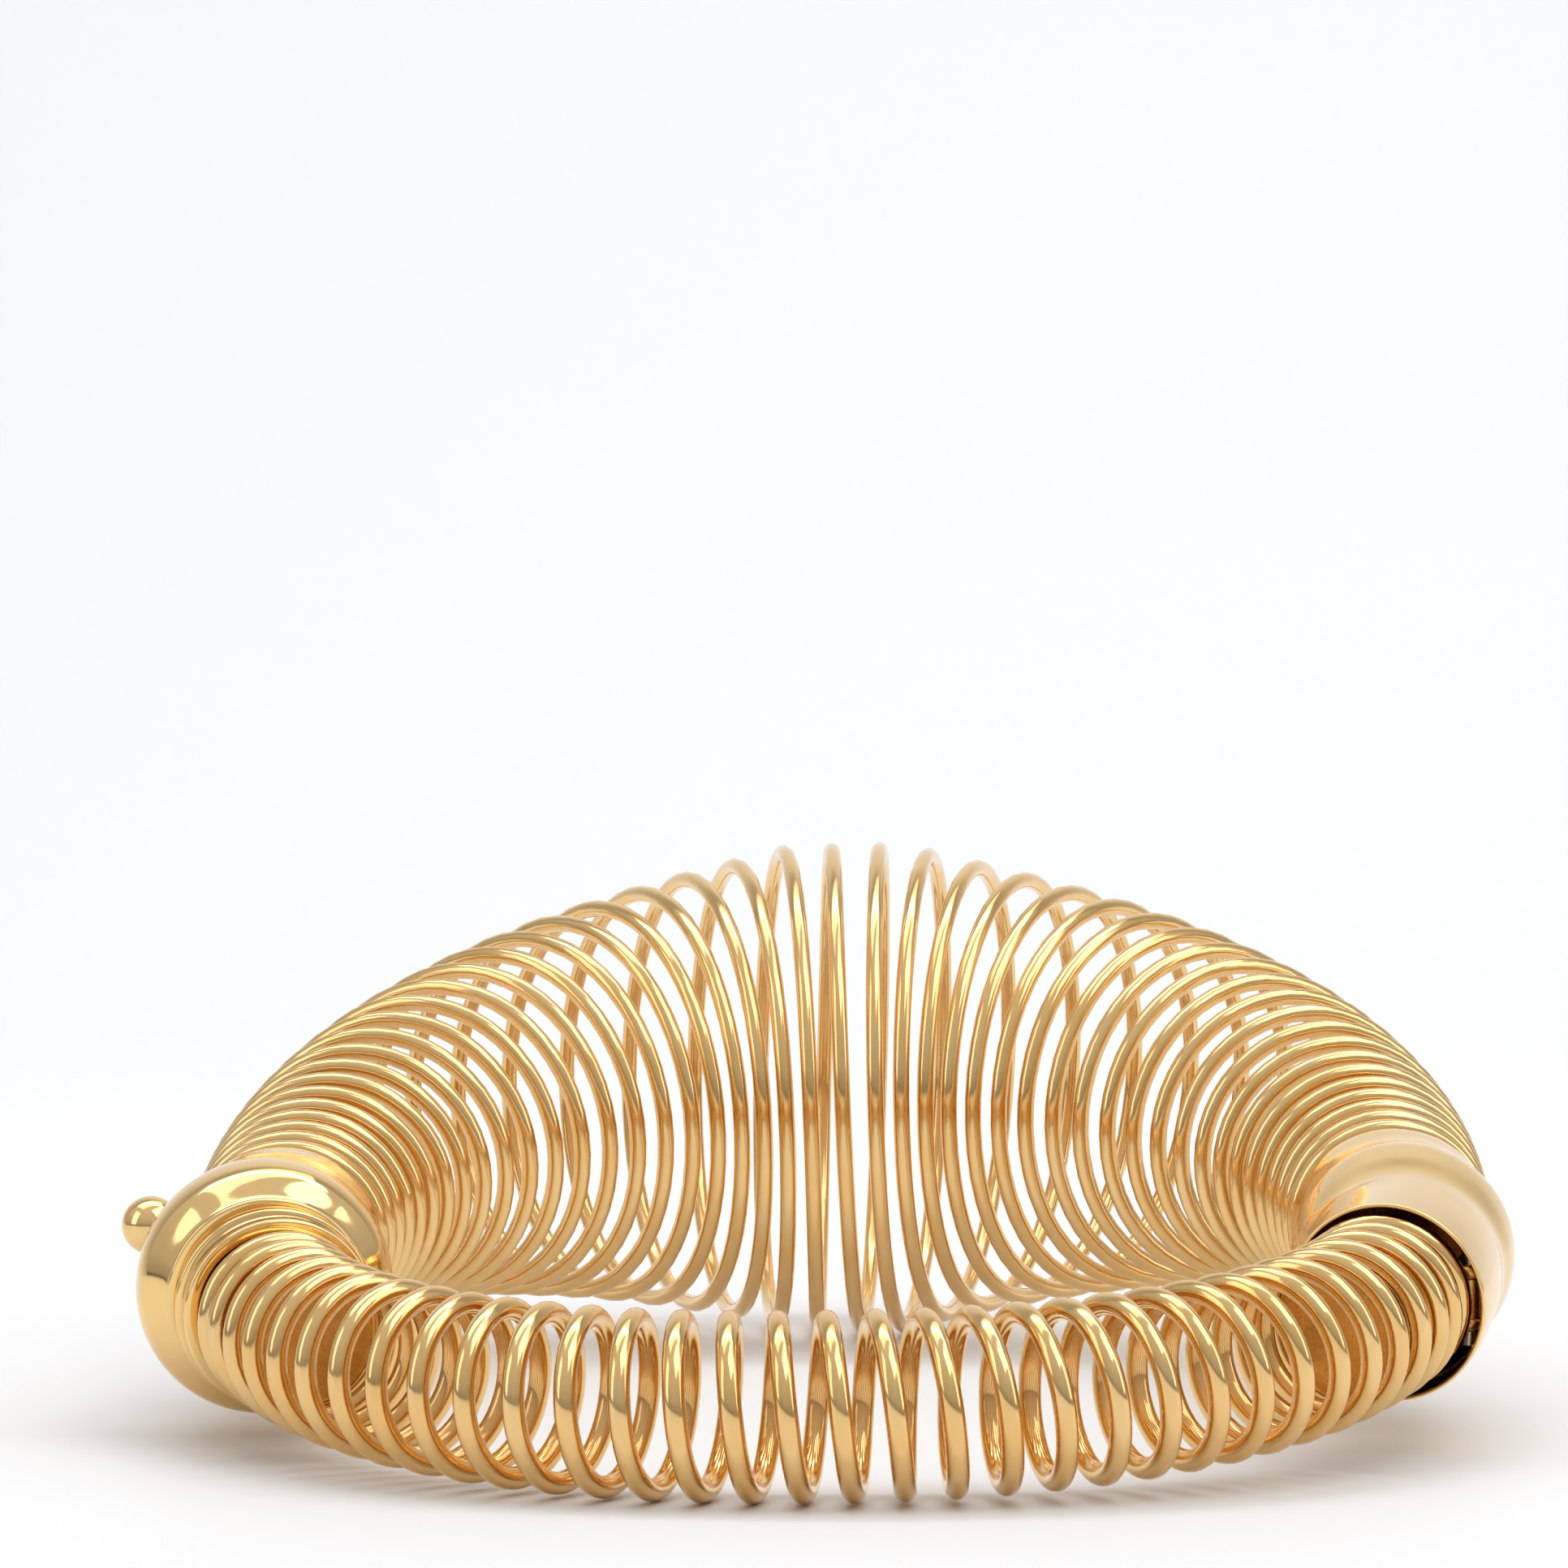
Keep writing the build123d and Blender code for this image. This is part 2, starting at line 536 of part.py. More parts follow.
with BuildPart() as thumb_spring:
    with BuildLine(push_plane.offset(SPRING_SEAT + THUMB_WIRE / 2)) as thumb_path:
        Helix(pitch=(thumb_length - THUMB_WIRE) / THUMB_TURNS, height=thumb_length - THUMB_WIRE,
              radius=THUMB_COIL_RADIUS, direction=push_plane.z_dir)
    with BuildSketch(Plane(thumb_path.line @ 0, z_dir=thumb_path.line % 0)):
        Circle(THUMB_WIRE / 2)
    sweep(path=thumb_path.line, is_frenet=True)

# ---- write one file for each sub-part -------------------------------------------------------------------
SUBPARTS = {
    "rear_spring": rear_spring,
    "clasp_bell": clasp_bell,
    "hinge_bell": hinge_bell,
    "clasp_rear_plug": clasp_rear_plug,
    "hinge_rear_plug": hinge_rear_plug,
    "clasp_washer": clasp_washer,
    "hinge_washer": hinge_washer,
    "clasp_block": clasp_block,
    "thumb_spring": thumb_spring,
    "hinge_yoke": hinge_yoke,
    "hinge_pin": hinge_pin,
    "front_spring": front_spring,
    "front_cap": front_cap,
    "front_clasp_plug": front_clasp_plug,
    "front_hinge_plug": front_hinge_plug,
    "plug_pin_upper": plug_pin_upper,
    "plug_pin_lower": plug_pin_lower,
    "tongue": tongue,
    "tongue_rivet": tongue_rivet,
    "thumb_ball": thumb_ball,
    "catch_plate": catch_plate,
}

os.makedirs("parts", exist_ok=True)
for name, builder in SUBPARTS.items():
    builder.part.label = name
    export_step(builder.part, f"parts/{name}.step")
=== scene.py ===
import bisect
import json
import math

import bmesh
import bpy
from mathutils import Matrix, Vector


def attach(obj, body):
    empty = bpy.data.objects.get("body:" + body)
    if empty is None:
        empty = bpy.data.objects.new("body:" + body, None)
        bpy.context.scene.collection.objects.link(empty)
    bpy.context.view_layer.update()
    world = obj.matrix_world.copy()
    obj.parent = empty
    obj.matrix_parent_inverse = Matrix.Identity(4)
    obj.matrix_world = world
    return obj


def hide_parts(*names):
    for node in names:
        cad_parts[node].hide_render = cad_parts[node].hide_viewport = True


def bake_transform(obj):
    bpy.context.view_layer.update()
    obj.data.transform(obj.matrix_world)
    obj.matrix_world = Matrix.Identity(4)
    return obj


# A gold-coloured coil spring bracelet on a pale studio floor. Metres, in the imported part's frame.

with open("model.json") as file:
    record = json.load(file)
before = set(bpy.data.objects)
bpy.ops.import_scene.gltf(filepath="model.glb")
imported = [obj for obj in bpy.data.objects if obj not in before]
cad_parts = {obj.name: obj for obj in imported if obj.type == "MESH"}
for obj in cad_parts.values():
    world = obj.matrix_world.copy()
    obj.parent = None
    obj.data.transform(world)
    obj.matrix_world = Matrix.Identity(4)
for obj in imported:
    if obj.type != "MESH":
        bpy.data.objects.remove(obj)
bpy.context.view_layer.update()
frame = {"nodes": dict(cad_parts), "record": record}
record = frame["record"]
MM = 0.001

# ---- sizes that the wire and the collars follow, in millimetres -------------------------------------
LEFT_WIDTH = 30.0
RIGHT_WIDTH = 30.36
FRONT_DEPTH = 35.0
REAR_DEPTH = 46.0
FRONT_SQUARENESS = 2.24
REAR_SQUARENESS = 2.35
ROLL = math.radians(0.9)
ROLL_LIFT = 0.03
FRONT_WIRE = 1.1
REAR_WIRE = 1.0
FRONT_COIL_RADIUS = 4.62
REAR_COIL_RADIUS = 15.4
REAR_END_RADIUS = 5.2
REAR_FLAT = 3.5
REAR_HOLLOW = 0.45
FRONT_PITCH = 2.36
FRONT_END_PITCH = 1.9
FRONT_OPEN_HALF = 31.0
FRONT_CLOSE_END = 36.8
REAR_PITCH = 2.88
REAR_END_PITCH = 1.65
REAR_OPEN_HALF = 39.0
FRONT_PHASE = -0.28
REAR_PHASE = -0.26
FRONT_SPRING_LEFT = 36.8
FRONT_SPRING_RIGHT = 38.3
REAR_SPRING_HALF = 59.2
BALL_OUT = 6.2
BALL_RADIUS = 1.56
POINTS_PER_TURN = 24
ON_AXIS = 0.0005                      # the radius that closes a turned shape on its axis
CAD_HINGE_BULGE = 6.45

LEAN = math.asin((REAR_COIL_RADIUS - FRONT_COIL_RADIUS) / (FRONT_DEPTH + REAR_DEPTH))
SIDE_HEIGHT = FRONT_COIL_RADIUS + FRONT_DEPTH * math.sin(LEAN) + ROLL_LIFT
RING_X = (LEFT_WIDTH + BALL_OUT + BALL_RADIUS - RIGHT_WIDTH - CAD_HINGE_BULGE) / 2
RING_Y = ((FRONT_DEPTH - REAR_DEPTH) * math.cos(LEAN) + FRONT_COIL_RADIUS - REAR_COIL_RADIUS) / 2
RING_RIGHT = Vector((math.cos(ROLL), 0, math.sin(ROLL)))
RING_BACK = Vector((-math.sin(LEAN) * math.sin(ROLL), math.cos(LEAN), math.sin(LEAN) * math.cos(ROLL)))
RING_UP = RING_RIGHT.cross(RING_BACK)


# ---- the ring line ------------------------------------------------------------------------------------
def in_ring_plane(x, y):
    """A point of the leaning ring plane, in millimetres, from its plan coordinates."""
    return Vector((RING_X, RING_Y, SIDE_HEIGHT)) + RING_RIGHT * x + RING_BACK * y


def plan_point(angle):
    side, back = math.sin(angle), -math.cos(angle)
    depth, power = (REAR_DEPTH, REAR_SQUARENESS) if back > 0 else (FRONT_DEPTH, FRONT_SQUARENESS)
    width = RIGHT_WIDTH if side > 0 else LEFT_WIDTH
    reach = (abs(side / width) ** power + abs(back / depth) ** power) ** (-1 / power)
    return reach * side, reach * back


PLAN_STEPS = 1440
PLAN = [plan_point(2 * math.pi * step / PLAN_STEPS) for step in range(PLAN_STEPS + 1)]
ARC = [0.0]
for here, there in zip(PLAN, PLAN[1:]):
    ARC.append(ARC[-1] + math.dist(here, there))
SIDE_ARC = ARC[PLAN_STEPS // 4]
BACK_ARC = ARC[PLAN_STEPS // 2]
LEFT_SIDE_ARC = ARC[PLAN_STEPS * 3 // 4]
FULL_ARC = ARC[-1]


def plan_at(arc):
    arc = arc % FULL_ARC
    index = min(bisect.bisect_right(ARC, arc), PLAN_STEPS) - 1
    share = (arc - ARC[index]) / (ARC[index + 1] - ARC[index])
    (x0, y0), (x1, y1) = PLAN[index], PLAN[index + 1]
    return x0 + share * (x1 - x0), y0 + share * (y1 - y0)


def station(arc):
    """Origin, up, outward and anticlockwise directions of the section at a distance along the ring."""
    along = (in_ring_plane(*plan_at(arc + 0.4)) - in_ring_plane(*plan_at(arc - 0.4))).normalized()
    up = RING_UP - along * RING_UP.dot(along)
    up.normalize()
    return in_ring_plane(*plan_at(arc)), up, along.cross(up), along


# ---- springs ------------------------------------------------------------------------------------------
def ease(value, low, high):
    return min(max((value - low) / (high - low), 0.0), 1.0)


def front_radius(arc):
    return FRONT_COIL_RADIUS


def front_pitch(arc):
    closing = ease(abs(arc), FRONT_OPEN_HALF, FRONT_CLOSE_END)
    return FRONT_PITCH + closing * (FRONT_END_PITCH - FRONT_PITCH)


def rear_radius(arc):
    share = ease(abs(arc - BACK_ARC), REAR_FLAT, BACK_ARC - SIDE_ARC)
    swollen = share + REAR_HOLLOW * share * (1 - share)
    return REAR_COIL_RADIUS + swollen * (REAR_END_RADIUS - REAR_COIL_RADIUS)


def rear_pitch(arc):
    closing = ease(abs(arc - BACK_ARC), REAR_OPEN_HALF, REAR_SPRING_HALF)
    return REAR_PITCH + closing * (REAR_END_PITCH - REAR_PITCH)


def coil_points(middle, start, end, phase, pitch, radius, wire):
    """Points along the wire, in millimetres, worked outwards from the middle."""
    half_coils = []
    for limit, sign in ((start, -1), (end, 1)):
        arc, turn, points = middle, phase, []
        while sign * arc < sign * limit:
            points.append((arc, turn))
            arc += sign * pitch(arc) / POINTS_PER_TURN
            turn += sign / POINTS_PER_TURN
        half_coils.append(points)
    centre_line = []
    for arc, turn in half_coils[0][:0:-1] + half_coils[1]:
        origin, up, outward, _ = station(arc)
        swing = 2 * math.pi * turn
        reach = radius(arc) - wire / 2
        centre_line.append(origin + reach * (math.cos(swing) * up + math.sin(swing) * outward))
    return centre_line


def wire_piece(name, points, wire, material, body, node):
    """A round wire along the points, as a curve with a fine bevel."""
    curve = bpy.data.curves.new(name, "CURVE")
    curve.dimensions = "3D"
    curve.bevel_depth = wire / 2 * MM
    curve.bevel_resolution = 6
    curve.resolution_u = 2
    curve.use_fill_caps = True
    spline = curve.splines.new("NURBS")
    spline.points.add(len(points) - 1)
    for point, place in zip(spline.points, points):
        point.co = (*(place * MM), 1)
    spline.order_u = 3
    spline.use_endpoint_u = True
    piece = bpy.data.objects.new(name, curve)
    bpy.context.collection.objects.link(piece)
    curve.materials.append(material)
    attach(piece, body)
    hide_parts(node)
    return piece


# ---- materials ----------------------------------------------------------------------------------------
def node_in(tree, kind, **values):
    node = tree.nodes.new(kind)
    for key, value in values.items():
        if key in node.inputs:
            node.inputs[key].default_value = value
        else:
            setattr(node, key, value)
    return node


def metal(name, colour, dark, roughness, spread, bump, scale, grain_stretch=(1, 1, 1)):
    """A polished metal with faint clouding between two tones, and fine scratches."""
    material = bpy.data.materials.new(name)
    material.use_nodes = True
    tree = material.node_tree
    shader = tree.nodes["Principled BSDF"]
    shader.inputs["Metallic"].default_value = 1.0
    place = tree.nodes.new("ShaderNodeTexCoord")
    stretch = node_in(tree, "ShaderNodeMapping")
    stretch.inputs["Scale"].default_value = grain_stretch
    tree.links.new(place.outputs["Object"], stretch.inputs["Vector"])
    cloud = node_in(tree, "ShaderNodeTexNoise", Scale=scale, Detail=5.0, Roughness=0.6)
    tree.links.new(stretch.outputs["Vector"], cloud.inputs["Vector"])
    tint = tree.nodes.new("ShaderNodeValToRGB")
    tint.color_ramp.elements[0].position = 0.30
    tint.color_ramp.elements[0].color = (*dark, 1)
    tint.color_ramp.elements[1].position = 0.62
    tint.color_ramp.elements[1].color = (*colour, 1)
    tree.links.new(cloud.outputs["Fac"], tint.inputs["Fac"])
    tree.links.new(tint.outputs["Color"], shader.inputs["Base Color"])
    scratch = node_in(tree, "ShaderNodeTexNoise", Scale=scale * 9, Detail=3.0, Roughness=0.5)
    tree.links.new(stretch.outputs["Vector"], scratch.inputs["Vector"])
    rough = tree.nodes.new("ShaderNodeMapRange")
    rough.inputs["To Min"].default_value = roughness
    rough.inputs["To Max"].default_value = roughness + spread
    tree.links.new(scratch.outputs["Fac"], rough.inputs["Value"])
    tree.links.new(rough.outputs["Result"], shader.inputs["Roughness"])
    relief = node_in(tree, "ShaderNodeBump", Strength=bump, Distance=0.00002)
    tree.links.new(scratch.outputs["Fac"], relief.inputs["Height"])
    tree.links.new(relief.outputs["Normal"], shader.inputs["Normal"])
    return material


GOLD = (0.83, 0.565, 0.255)
GOLD_DEEP = (0.80, 0.50, 0.19)
gold_wire = metal("gold_wire", GOLD, GOLD_DEEP, 0.09, 0.08, 0.10, 260)
gold_collar = metal("gold_collar", GOLD, (0.93, 0.63, 0.25), 0.05, 0.05, 0.05, 180)
gold_inner = metal("gold_inner", (0.80, 0.50, 0.19), (0.62, 0.36, 0.12), 0.22, 0.12, 0.3, 420)
pin_steel = metal("pin_steel", (0.60, 0.57, 0.52), (0.45, 0.42, 0.38), 0.25, 0.12, 0.3, 700)
MATERIALS = {"gold_wire": gold_wire, "gold_collar": gold_collar, "gold_inner": gold_inner, "pin_steel": pin_steel}

for row in record["subparts"]:
    node = frame["nodes"][row["node"]]
    for place in node.material_slots:
        place.material = MATERIALS[row["material_slot"]]

front_points = coil_points(0, -FRONT_SPRING_LEFT, FRONT_SPRING_RIGHT, FRONT_PHASE,
                           front_pitch, front_radius, FRONT_WIRE)
rear_points = coil_points(BACK_ARC, BACK_ARC - REAR_SPRING_HALF, BACK_ARC + REAR_SPRING_HALF, REAR_PHASE,
                          rear_pitch, rear_radius, REAR_WIRE)
wire_piece("front_coil", front_points, FRONT_WIRE, gold_wire, "front_half", "front_spring")
wire_piece("rear_coil", rear_points, REAR_WIRE, gold_wire, "rear_half", "rear_spring")

# ---- collars, cap and ball ------------------------------------------------------------------------------
MOUTH_LEFT = FULL_ARC - 40.0
MOUTH_RIGHT = 37.5
THROAT_LEFT = BACK_ARC + REAR_SPRING_HALF + REAR_WIRE / 2
THROAT_RIGHT = BACK_ARC - REAR_SPRING_HALF - REAR_WIRE / 2
LATCH = LEFT_SIDE_ARC + 4.8
# Each collar: (share of its length, outside radius) from the throat, the mouth's bore, and the drift at the mouth.
CLASP_BELL = {
    "knots": (
        (0, 5.4), (0.169, 5.5), (0.341, 5.8), (0.512, 6.2),
        (0.65, 6.49), (0.787, 6.72), (0.897, 6.42), (1, 5.21),
    ),
    "mouth": 4.3, "bore_from": 0.94, "outward": 0.27, "upward": 0.38,
}
HINGE_BELL = {
    "knots": (
        (0, 5.55), (0.117, 5.45), (0.226, 5.62), (0.335, 5.92),
        (0.444, 5.68), (0.553, 5.2), (0.66, 5.14), (1, 5.14),
    ),
    "mouth": 4.92, "bore_from": 0.38, "outward": 0.25, "upward": 0.0,
}
BELL_WALL = 0.85
BULKHEAD = 1.5
SPIGOT_RADIUS = 2.4
THROAT_ROUND = 0.16
LIP_ROUND = 0.17
BALL_UP = 2.8
ROUND_SEGMENTS = 192


def through(knots, share):
    """Height of a smooth curve that passes through knots of (share, height)."""
    index = max(number for number, knot in enumerate(knots[:-1]) if knot[0] <= share)
    before, first, last = knots[max(index - 1, 0)], knots[index], knots[index + 1]
    after = knots[min(index + 2, len(knots) - 1)]
    reach = last[0] - first[0]
    rise_in = (last[1] - before[1]) / (last[0] - before[0]) * reach
    rise_out = (after[1] - first[1]) / (after[0] - first[0]) * reach
    t = (share - first[0]) / reach
    swing = (2 * t ** 3 - 3 * t ** 2 + 1) * first[1] + (3 * t ** 2 - 2 * t ** 3) * last[1]
    return swing + (t ** 3 - 2 * t ** 2 + t) * rise_in + (t ** 3 - t ** 2) * rise_out


def bell_outside(sizes, length, steps=72):
    """Outline of a collar, from the throat to the lip."""
    shares = [step / steps for step in range(steps + 1)]
    return [(share * length, through(sizes["knots"], share)) for share in shares]


def quarter(centre_along, centre_radius, size, start, turn, steps=6):
    """A quarter round of a profile, as (along, radius) points."""
    points = []
    for step in range(steps + 1):
        angle = start + turn * step / steps
        points.append((centre_along + size * math.cos(angle), centre_radius + size * math.sin(angle)))
    return points


def mesh_piece(name, build, material, body, slot, *nodes):
    """A mesh piece from a bmesh: smooth faces, outward normals, riding on its body."""
    bmesh.ops.recalc_face_normals(build, faces=build.faces)
    mesh = bpy.data.meshes.new(name)
    build.to_mesh(mesh)
    build.free()
    for face in mesh.polygons:
        face.use_smooth = True
    mesh.materials.append(material)
    piece = bpy.data.objects.new(name, mesh)
    bpy.context.collection.objects.link(piece)
    if body:
        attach(piece, body)
    if nodes:
        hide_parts(*nodes)
    return piece


def turned(sections, profile, closed=True):
    """A bmesh turned about a bent axis. sections(along) gives origin, up and outward in millimetres."""
    build = bmesh.new()
    rings = []
    for along, radius in profile:
        origin, up, outward = sections(along)
        ring = []
        for step in range(ROUND_SEGMENTS):
            swing = 2 * math.pi * step / ROUND_SEGMENTS
            ring.append(build.verts.new((origin + radius * (math.cos(swing) * up + math.sin(swing) * outward)) * MM))
        rings.append(ring)
    pairs = list(zip(rings, rings[1:]))
    if closed:
        pairs.append((rings[-1], rings[0]))
    for low, high in pairs:
        for step in range(ROUND_SEGMENTS):
            following = (step + 1) % ROUND_SEGMENTS
            build.faces.new((low[step], low[following], high[following], high[step]))
    return build


def ring_sections(start, side, outwards=0.0, upwards=0.0):
    """Sections across the ring line, at a distance from a station towards a collar's mouth."""
    def sections(along):
        origin, up, outward, _ = station(start + side * along)
        return origin + outward * outwards * along + up * upwards * along, up, outward
    return sections


def bell_sections(start, side, length, sizes):
    """Sections of a collar, whose middle drifts off the ring line towards its mouth."""
    return ring_sections(start, side, sizes["outward"] / length, sizes["upward"] / length)


def bell_profile(length, sizes):
    """The closed outline of a collar's wall, from the throat round the lip and back inside."""
    throat, lip = sizes["knots"][0][1], sizes["knots"][-1][1]
    edge = min(LIP_ROUND, (lip - sizes["mouth"]) / 2)
    points = [(0.0, SPIGOT_RADIUS), (0.0, throat - THROAT_ROUND)]
    points += quarter(THROAT_ROUND, throat - THROAT_ROUND, THROAT_ROUND, math.pi, -math.pi / 2)
    outline = bell_outside(sizes, length - edge)
    points += [point for point in outline if point[0] > 0.5]
    points += quarter(length - edge, lip - edge, edge, math.pi / 2 * 0.9, -math.pi / 2 * 0.9)
    points += quarter(length - edge, sizes["mouth"] + edge, edge, 0, -math.pi / 2, 4)
    bore_end = sizes["bore_from"] * length
    points.append((bore_end, sizes["mouth"]))
    inside = [(along, radius - BELL_WALL) for along, radius in outline if BULKHEAD + 0.05 < along < bore_end]
    points += inside[::-1]
    points += [(BULKHEAD, inside[0][1]), (BULKHEAD, SPIGOT_RADIUS)]
    return points


right_length = THROAT_RIGHT - MOUTH_RIGHT
left_length = MOUTH_LEFT - THROAT_LEFT
right_sections = bell_sections(THROAT_RIGHT, -1, right_length, HINGE_BELL)
right_bell = turned(right_sections, bell_profile(right_length, HINGE_BELL))
mesh_piece("right_collar", right_bell, gold_collar, "rear_half", "gold_collar", "hinge_bell")
left_sections = bell_sections(THROAT_LEFT, 1, left_length, CLASP_BELL)
left_bell = turned(left_sections, bell_profile(left_length, CLASP_BELL))
left_collar = mesh_piece("left_collar", left_bell, gold_collar, "rear_half", "gold_collar", "clasp_bell")

latch_origin, latch_up, latch_out, latch_along = station(LATCH)
ball_axis = latch_origin + BALL_UP * latch_up


def push_sections(along):
    """Sections across the ball's stem, at a distance outwards from the ring line."""
    return ball_axis + along * latch_out, latch_up, latch_along


def cut_bore(piece, radius, low, high):
    """Cuts the hole that the ball sinks into."""
    outline = [(low, ON_AXIS), (low, radius), (high, radius), (high, ON_AXIS)]
    cutter_build = turned(push_sections, outline)
    bmesh.ops.recalc_face_normals(cutter_build, faces=cutter_build.faces)
    cutter_mesh = bpy.data.meshes.new("bore_cutter")
    cutter_build.to_mesh(cutter_mesh)
    cutter_build.free()
    cutter = bpy.data.objects.new("bore_cutter", cutter_mesh)
    bpy.context.collection.objects.link(cutter)
    boolean = piece.modifiers.new("bore", "BOOLEAN")
    boolean.operation = "DIFFERENCE"
    boolean.solver = "EXACT"
    boolean.object = cutter
    bpy.context.view_layer.update()
    solved = bpy.data.meshes.new_from_object(piece.evaluated_get(bpy.context.evaluated_depsgraph_get()))
    piece.modifiers.clear()
    piece.data = solved
    bpy.data.objects.remove(cutter)


BORE_RADIUS = 1.75
BORE_RANGE = (3.8, 9.0)
cut_bore(left_collar, BORE_RADIUS, *BORE_RANGE)

# The cap: a rim against the left mouth, a groove, and a skirt towards the first coil.
cap_profile = [(0.10, ON_AXIS), (0.10, 4.97)]
cap_profile += quarter(0.28, 4.97, 0.18, math.pi, -math.pi / 2)
cap_profile += quarter(0.47, 4.97, 0.18, math.pi / 2, -math.pi / 2)
cap_profile += [(0.67, 4.78), (0.74, 4.75), (0.86, 4.75)]
cap_profile += quarter(1.02, 4.83, 0.12, math.pi, -math.pi / 2)
cap_profile += [(1.3, 4.95), (1.40, 4.95), (1.44, 4.89), (1.52, 4.89), (1.56, 4.95)]
cap_profile += quarter(2.22, 4.77, 0.18, math.pi / 2, -math.pi / 2)
cap_profile += [(2.40, ON_AXIS)]
mesh_piece("left_cap", turned(ring_sections(MOUTH_LEFT, 1), cap_profile), gold_collar,
           "front_half", "gold_collar", "front_cap")

# The hinge yoke inside the right collar: a disc with two ears that hold the pin.
YOKE_STATION = 41.5
YOKE_RADIUS = 4.72
YOKE_THICKNESS = 1.3
YOKE_EDGE = 0.12
HINGE_STATION = 39.8
HINGE_OUT = 4.1
KNUCKLE_RADIUS = 0.8
EAR_LENGTH = 2.2
EAR_LEVELS = (1.05, 1.7)
hinge_at, _, hinge_out, hinge_along = station(HINGE_STATION)
hinge_at = hinge_at + HINGE_OUT * hinge_out
ear_outline = [(-KNUCKLE_RADIUS, EAR_LENGTH), (KNUCKLE_RADIUS, EAR_LENGTH)]
for step in range(25):
    angle = -math.pi * step / 24
    ear_outline.append((KNUCKLE_RADIUS * math.cos(angle), KNUCKLE_RADIUS * math.sin(angle)))


def slab(build, outline, low, high):
    """Adds a flat plate, with its outline across the hinge axis, between two levels along the axis."""
    rings = []
    for level in (low, high):
        rings.append([build.verts.new((hinge_at + x * hinge_out + y * hinge_along + level * RING_UP) * MM)
                      for x, y in outline])
    build.faces.new(rings[0])
    build.faces.new(rings[1])
    for number, vert in enumerate(rings[0]):
        following = (number + 1) % len(outline)
        build.faces.new((vert, rings[0][following], rings[1][following], rings[1][number]))


yoke_profile = [(0.0, ON_AXIS), (0.0, YOKE_RADIUS - YOKE_EDGE)]
yoke_profile += quarter(YOKE_EDGE, YOKE_RADIUS - YOKE_EDGE, YOKE_EDGE, math.pi, -math.pi / 2)
yoke_profile += quarter(YOKE_THICKNESS - YOKE_EDGE, YOKE_RADIUS - YOKE_EDGE, YOKE_EDGE, math.pi / 2, -math.pi / 2)
yoke_profile += [(YOKE_THICKNESS, ON_AXIS)]
yoke_build = turned(ring_sections(YOKE_STATION, 1), yoke_profile)
for side in (1, -1):
    slab(yoke_build, ear_outline, side * EAR_LEVELS[0], side * EAR_LEVELS[1])
mesh_piece("hinge_disc", yoke_build, gold_inner, "rear_half", "gold_inner", "hinge_yoke")

# The small spring under the ball, built at one fixed length.
PUSH_SPRING = (2.62, 4.62)     # from the ring line, outwards
PUSH_SPRING_RADIUS = 0.86
PUSH_SPRING_WIRE = 0.24
PUSH_SPRING_TURNS = 4
STEPS_PER_TURN = 36
WIRE_SIDES = 12


def push_spring():
    """The coiled wire of the small spring, about the ball's axis."""
    build = bmesh.new()
    rings = []
    low, high = PUSH_SPRING[0] + PUSH_SPRING_WIRE / 2, PUSH_SPRING[1] - PUSH_SPRING_WIRE / 2
    for step in range(STEPS_PER_TURN * PUSH_SPRING_TURNS + 1):
        share = step / (STEPS_PER_TURN * PUSH_SPRING_TURNS)
        swing = 2 * math.pi * PUSH_SPRING_TURNS * share
        origin, up, along = push_sections(low + share * (high - low))
        away = math.cos(swing) * up + math.sin(swing) * along
        ring = []
        for corner in range(WIRE_SIDES):
            angle = 2 * math.pi * corner / WIRE_SIDES
            spread = math.cos(angle) * away + math.sin(angle) * latch_out
            place = origin + PUSH_SPRING_RADIUS * away + PUSH_SPRING_WIRE / 2 * spread
            ring.append(build.verts.new(place * MM))
        rings.append(ring)
    for near, far in zip(rings, rings[1:]):
        for corner in range(WIRE_SIDES):
            following = (corner + 1) % WIRE_SIDES
            build.faces.new((near[corner], near[following], far[following], far[corner]))
    build.faces.new(rings[0][::-1])
    build.faces.new(rings[-1])
    return build


small_spring = mesh_piece("small_spring", push_spring(), pin_steel, None, "pin_steel", "thumb_spring")
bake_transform(small_spring)

# The ball, with a short neck into its stem.
PUSH_BALL = BALL_RADIUS - 0.01
STEM_RADIUS = 0.55
STEM_END = 1.86
ball_profile = [(STEM_END, ON_AXIS), (STEM_END, STEM_RADIUS - 0.06), (STEM_END + 0.06, STEM_RADIUS)]
first = math.pi - math.asin(STEM_RADIUS / PUSH_BALL)
for step in range(49):
    angle = first * (1 - step / 48)
    ball_profile.append((BALL_OUT + PUSH_BALL * math.cos(angle), max(PUSH_BALL * math.sin(angle), ON_AXIS)))
mesh_piece("push_ball", turned(push_sections, ball_profile), gold_collar, "thumb", "gold_collar", "thumb_ball")

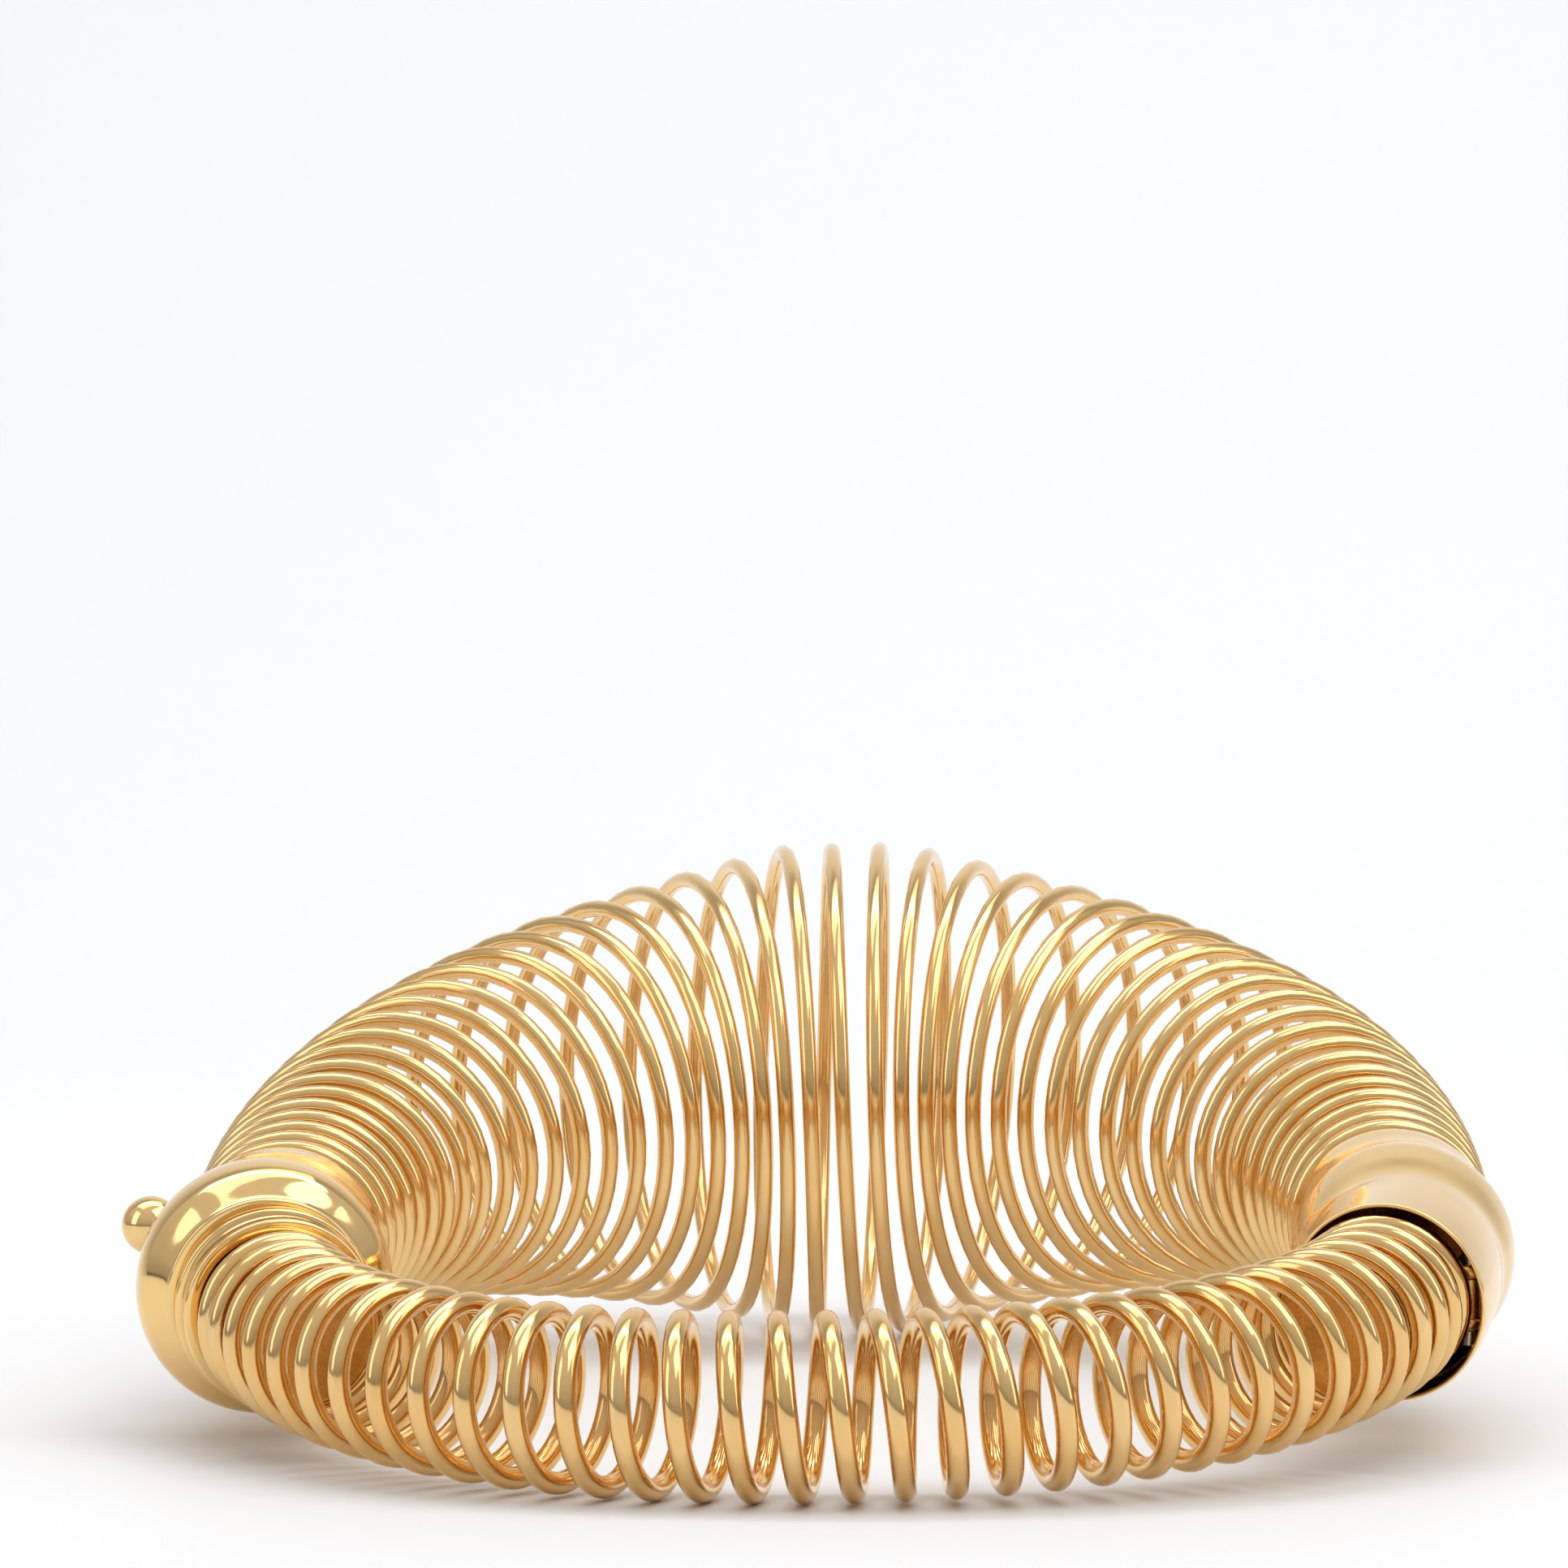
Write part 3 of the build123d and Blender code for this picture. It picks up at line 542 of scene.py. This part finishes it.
# ---- studio -------------------------------------------------------------------------------------------
def cyclorama():
    """A floor that rises in one smooth sweep into a backdrop."""
    mesh = bpy.data.meshes.new("cyclorama")
    profile = [(-1.6, 0.0), (0.35, 0.0)]
    for step in range(1, 17):
        angle = math.pi / 2 * step / 16
        profile.append((0.35 + 0.5 * math.sin(angle), 0.5 - 0.5 * math.cos(angle)))
    profile.append((0.85, 2.2))
    build = bmesh.new()
    rows = [[build.verts.new((x, y, z)) for x in (-2.2, 2.2)] for y, z in profile]
    for low, high in zip(rows, rows[1:]):
        build.faces.new((low[0], low[1], high[1], high[0]))
    build.to_mesh(mesh)
    build.free()
    for face in mesh.polygons:
        face.use_smooth = True
    backdrop = bpy.data.objects.new("cyclorama", mesh)
    bpy.context.collection.objects.link(backdrop)
    material = bpy.data.materials.new("pale_card")
    material.use_nodes = True
    tree = material.node_tree
    shader = tree.nodes["Principled BSDF"]
    shader.inputs["Roughness"].default_value = 0.55
    shader.inputs["Base Color"].default_value = (0.80, 0.805, 0.812, 1)
    mesh.materials.append(material)


def soft_box(name, place, target, size, power, colour=(1, 1, 1)):
    light = bpy.data.lights.new(name, "AREA")
    light.shape = "RECTANGLE"
    light.size, light.size_y = size
    light.energy = power
    light.color = colour
    lamp = bpy.data.objects.new(name, light)
    bpy.context.collection.objects.link(lamp)
    lamp.location = place
    lamp.rotation_euler = (Vector(target) - Vector(place)).to_track_quat("-Z", "Y").to_euler()


cyclorama()
soft_box("key_box", (0.34, -0.22, 0.58), (0, 0, 0.01), (0.55, 0.40), 1.35)
soft_box("top_box", (-0.05, 0.10, 0.66), (0, 0, 0), (0.80, 0.35), 1.0)
soft_box("left_box", (-0.62, -0.30, 0.32), (0, 0, 0.01), (0.30, 0.55), 0.6)
soft_box("back_wash", (0.0, 0.20, 0.95), (0, 0.85, 0.35), (1.4, 0.30), 4.0)
soft_box("right_box", (0.66, -0.10, 0.28), (0, 0, 0.01), (0.25, 0.45), 0.5)


def room():
    """A pale room: bright overhead, dimmer low down, with a narrow dark band at the level of the horizon."""
    world = bpy.data.worlds.new("room")
    bpy.context.scene.world = world
    world.use_nodes = True
    tree = world.node_tree
    background = tree.nodes["Background"]
    place = tree.nodes.new("ShaderNodeTexCoord")
    split = tree.nodes.new("ShaderNodeSeparateXYZ")
    tree.links.new(place.outputs["Generated"], split.inputs["Vector"])
    lift = node_in(tree, "ShaderNodeMapRange")
    lift.inputs["From Min"].default_value = -1.0
    lift.inputs["From Max"].default_value = 1.0
    tree.links.new(split.outputs["Z"], lift.inputs["Value"])
    ramp = tree.nodes.new("ShaderNodeValToRGB")
    ramp.color_ramp.interpolation = "EASE"
    stops = [(0.0, 0.50), (0.485, 0.50), (0.503, 0.12), (0.520, 0.46), (0.62, 0.66), (0.80, 0.80), (1.0, 0.92)]
    ramp.color_ramp.elements[0].position = stops[0][0]
    ramp.color_ramp.elements[1].position = stops[-1][0]
    for position, _ in stops[1:-1]:
        ramp.color_ramp.elements.new(position)
    for element, (_, level) in zip(ramp.color_ramp.elements, stops):
        element.color = (level, level, level, 1)
    tree.links.new(lift.outputs["Result"], ramp.inputs["Fac"])
    tree.links.new(ramp.outputs["Color"], background.inputs["Color"])
    background.inputs["Strength"].default_value = 0.85


room()
bpy.context.scene.view_settings.view_transform = "Standard"
bpy.context.scene.view_settings.look = "None"
bpy.context.scene.view_settings.exposure = 0.0

# ---- camera -------------------------------------------------------------------------------------------
CAMERA_AT = (7.10, -285.4, 33.4)      # from the ring line's middle, in millimetres
CAMERA_YAW = 0.034                    # turned left of +Y, in radians
CAMERA_PITCH = 0.003                  # upwards
lens = bpy.data.cameras.new("camera")
lens.sensor_width = 36
lens.lens = 121.5
lens.clip_start = 0.01
lens.clip_end = 20
camera = bpy.data.objects.new("camera", lens)
bpy.context.collection.objects.link(camera)
camera.location = Vector((RING_X + CAMERA_AT[0], RING_Y + CAMERA_AT[1], CAMERA_AT[2])) * MM
camera.rotation_euler = (math.pi / 2 + CAMERA_PITCH, 0, CAMERA_YAW)
bpy.context.scene.camera = camera
